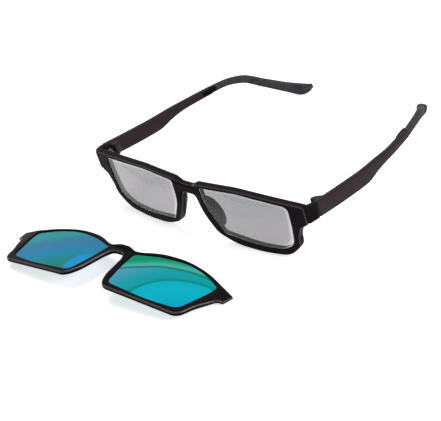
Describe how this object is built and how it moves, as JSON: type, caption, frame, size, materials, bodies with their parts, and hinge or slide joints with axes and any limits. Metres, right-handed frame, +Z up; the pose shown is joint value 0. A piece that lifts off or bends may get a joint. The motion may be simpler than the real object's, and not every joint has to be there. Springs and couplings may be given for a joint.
{
  "type": "magnetic clip-on sunglasses",
  "caption": "Rectangular spectacle frame with folding temples and a separate clip-on of mirrored lenses that holds to the front by magnets.",
  "frame": {"origin": "centre of the whole set's footprint, on the table", "axes": "+Z up from the table, +Y from the front back along the temples, +X to the viewer's right seen from the front"},
  "size_m": [0.165, 0.1972, 0.0342],
  "materials": {
    "shell": "satin black moulded front",
    "temple_shell": "fine matt brown-black",
    "tip_rubber": "matt charcoal, finely textured",
    "tinted_lens": "clear grey tint",
    "clip_shell": "satin black",
    "mirrored_lens": "blue-green mirror coat on a dark lens",
    "hinge_steel": "fine brushed",
    "magnet": "nickel plated"
  },
  "bodies": {
    "front": {"front_frame": "shell", "lens_right": "tinted_lens", "lens_left": "tinted_lens", "hinge_leaf_front_right": "hinge_steel", "hinge_leaf_front_left": "hinge_steel", "hinge_screw_right": "hinge_steel", "hinge_screw_left": "hinge_steel", "front_magnet_left": "magnet", "front_magnet_right": "magnet", "front_magnet_bridge": "magnet"},
    "temple_right": {"hinge_leaf_temple_right": "hinge_steel", "temple_right": "temple_shell", "temple_tip_right": "tip_rubber"},
    "temple_left": {"hinge_leaf_temple_left": "hinge_steel", "temple_left": "temple_shell", "temple_tip_left": "tip_rubber"},
    "clip": {"clip_frame": "clip_shell", "clip_lens_right": "mirrored_lens", "clip_lens_left": "mirrored_lens", "clip_magnet_left": "magnet", "clip_magnet_right": "magnet", "clip_magnet_bridge": "magnet"}
  },
  "joints": [
    {"name": "temple_left_fold", "type": "hinge", "parent": "front", "child": "temple_left", "pos_m": [-0.05749, -0.02545, 0.02602], "axis": [0, 0.0593, -0.9982], "range_deg": [0, 80]},
    {"name": "temple_right_fold", "type": "hinge", "parent": "front", "child": "temple_right", "pos_m": [0.07731, -0.02545, 0.02602], "axis": [0, -0.0593, 0.9982], "range_deg": [0, 75]},
    {"name": "clip_lift", "type": "slide", "parent": "front", "child": "clip", "axis": [0, 0, 1], "range_m": [0, 0.06]}
  ]
}
